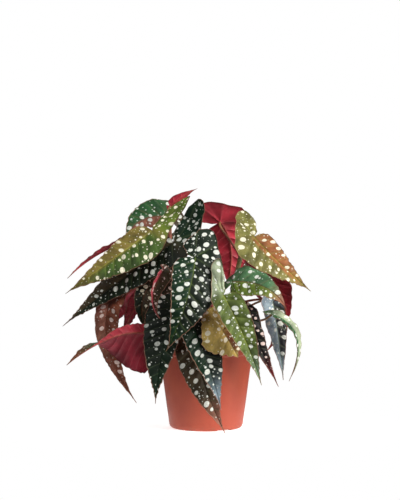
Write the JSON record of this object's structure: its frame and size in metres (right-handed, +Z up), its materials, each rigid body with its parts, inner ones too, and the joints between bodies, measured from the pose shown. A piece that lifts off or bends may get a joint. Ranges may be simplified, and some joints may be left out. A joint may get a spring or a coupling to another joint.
{
  "type": "potted plant",
  "caption": "Cane begonia with spotted, wing-shaped, drooping leaves, red beneath, standing in a round tapered nursery pot.",
  "frame": {"origin": "middle of the flat disc under the pot, on the surface that it stands on", "axes": "+Z up along the axis of the pot; -Y is the front of the plant and +X its right side seen from the front"},
  "size_m": [0.3043, 0.2425, 0.2982],
  "materials": {
    "pot_plastic": "thin moulded terracotta-coloured plastic, satin",
    "potting_soil": "damp crumbly peat",
    "cane_stem": "smooth jointed stem, green to red-brown",
    "leaf_olive": "satin spotted upper side, wine-red underside",
    "leaf_green": "satin spotted upper side, wine-red underside",
    "leaf_bright": "satin spotted upper side, wine-red underside",
    "leaf_dark": "satin spotted upper side, wine-red underside",
    "leaf_brown": "satin spotted upper side, wine-red underside",
    "leaf_slate": "satin spotted upper side, wine-red underside",
    "leaf_red": "satin spotted upper side, wine-red underside"
  },
  "bodies": {
    "root": {"cane_back": "cane_stem", "cane_front": "cane_stem", "cane_left": "cane_stem", "cane_right": "cane_stem", "leaf_back_left": "leaf_dark", "leaf_back_low_left": "leaf_brown", "leaf_back_low_middle": "leaf_dark", "leaf_back_low_right": "leaf_dark", "leaf_back_middle": "leaf_dark", "leaf_back_right": "leaf_olive", "leaf_crown_back": "leaf_green", "leaf_crown_back_left": "leaf_green", "leaf_crown_left": "leaf_dark", "leaf_crown_middle": "leaf_bright", "leaf_crown_young": "leaf_red", "leaf_front_large": "leaf_dark", "leaf_front_left_low": "leaf_dark", "leaf_front_low": "leaf_dark", "leaf_front_lowest": "leaf_brown", "leaf_front_scalloped": "leaf_olive", "leaf_front_young": "leaf_red", "leaf_left_drooping": "leaf_brown", "leaf_left_inner": "leaf_brown", "leaf_left_long": "leaf_dark", "leaf_left_low_turned": "leaf_green", "leaf_left_red": "leaf_green", "leaf_left_spotted": "leaf_brown", "leaf_right_bright": "leaf_bright", "leaf_right_folded": "leaf_slate", "leaf_right_front": "leaf_brown", "leaf_right_inner": "leaf_dark", "leaf_right_red": "leaf_green", "leaf_right_strap": "leaf_green", "leaf_side_left": "leaf_dark", "leaf_side_left_upper": "leaf_brown", "leaf_side_right": "leaf_dark", "leaf_side_right_lower": "leaf_green", "leaf_upper_left": "leaf_olive", "leaf_upper_left_under": "leaf_green", "leaf_upper_right": "leaf_olive", "pot": "pot_plastic", "soil": "potting_soil"}
  },
  "joints": []
}
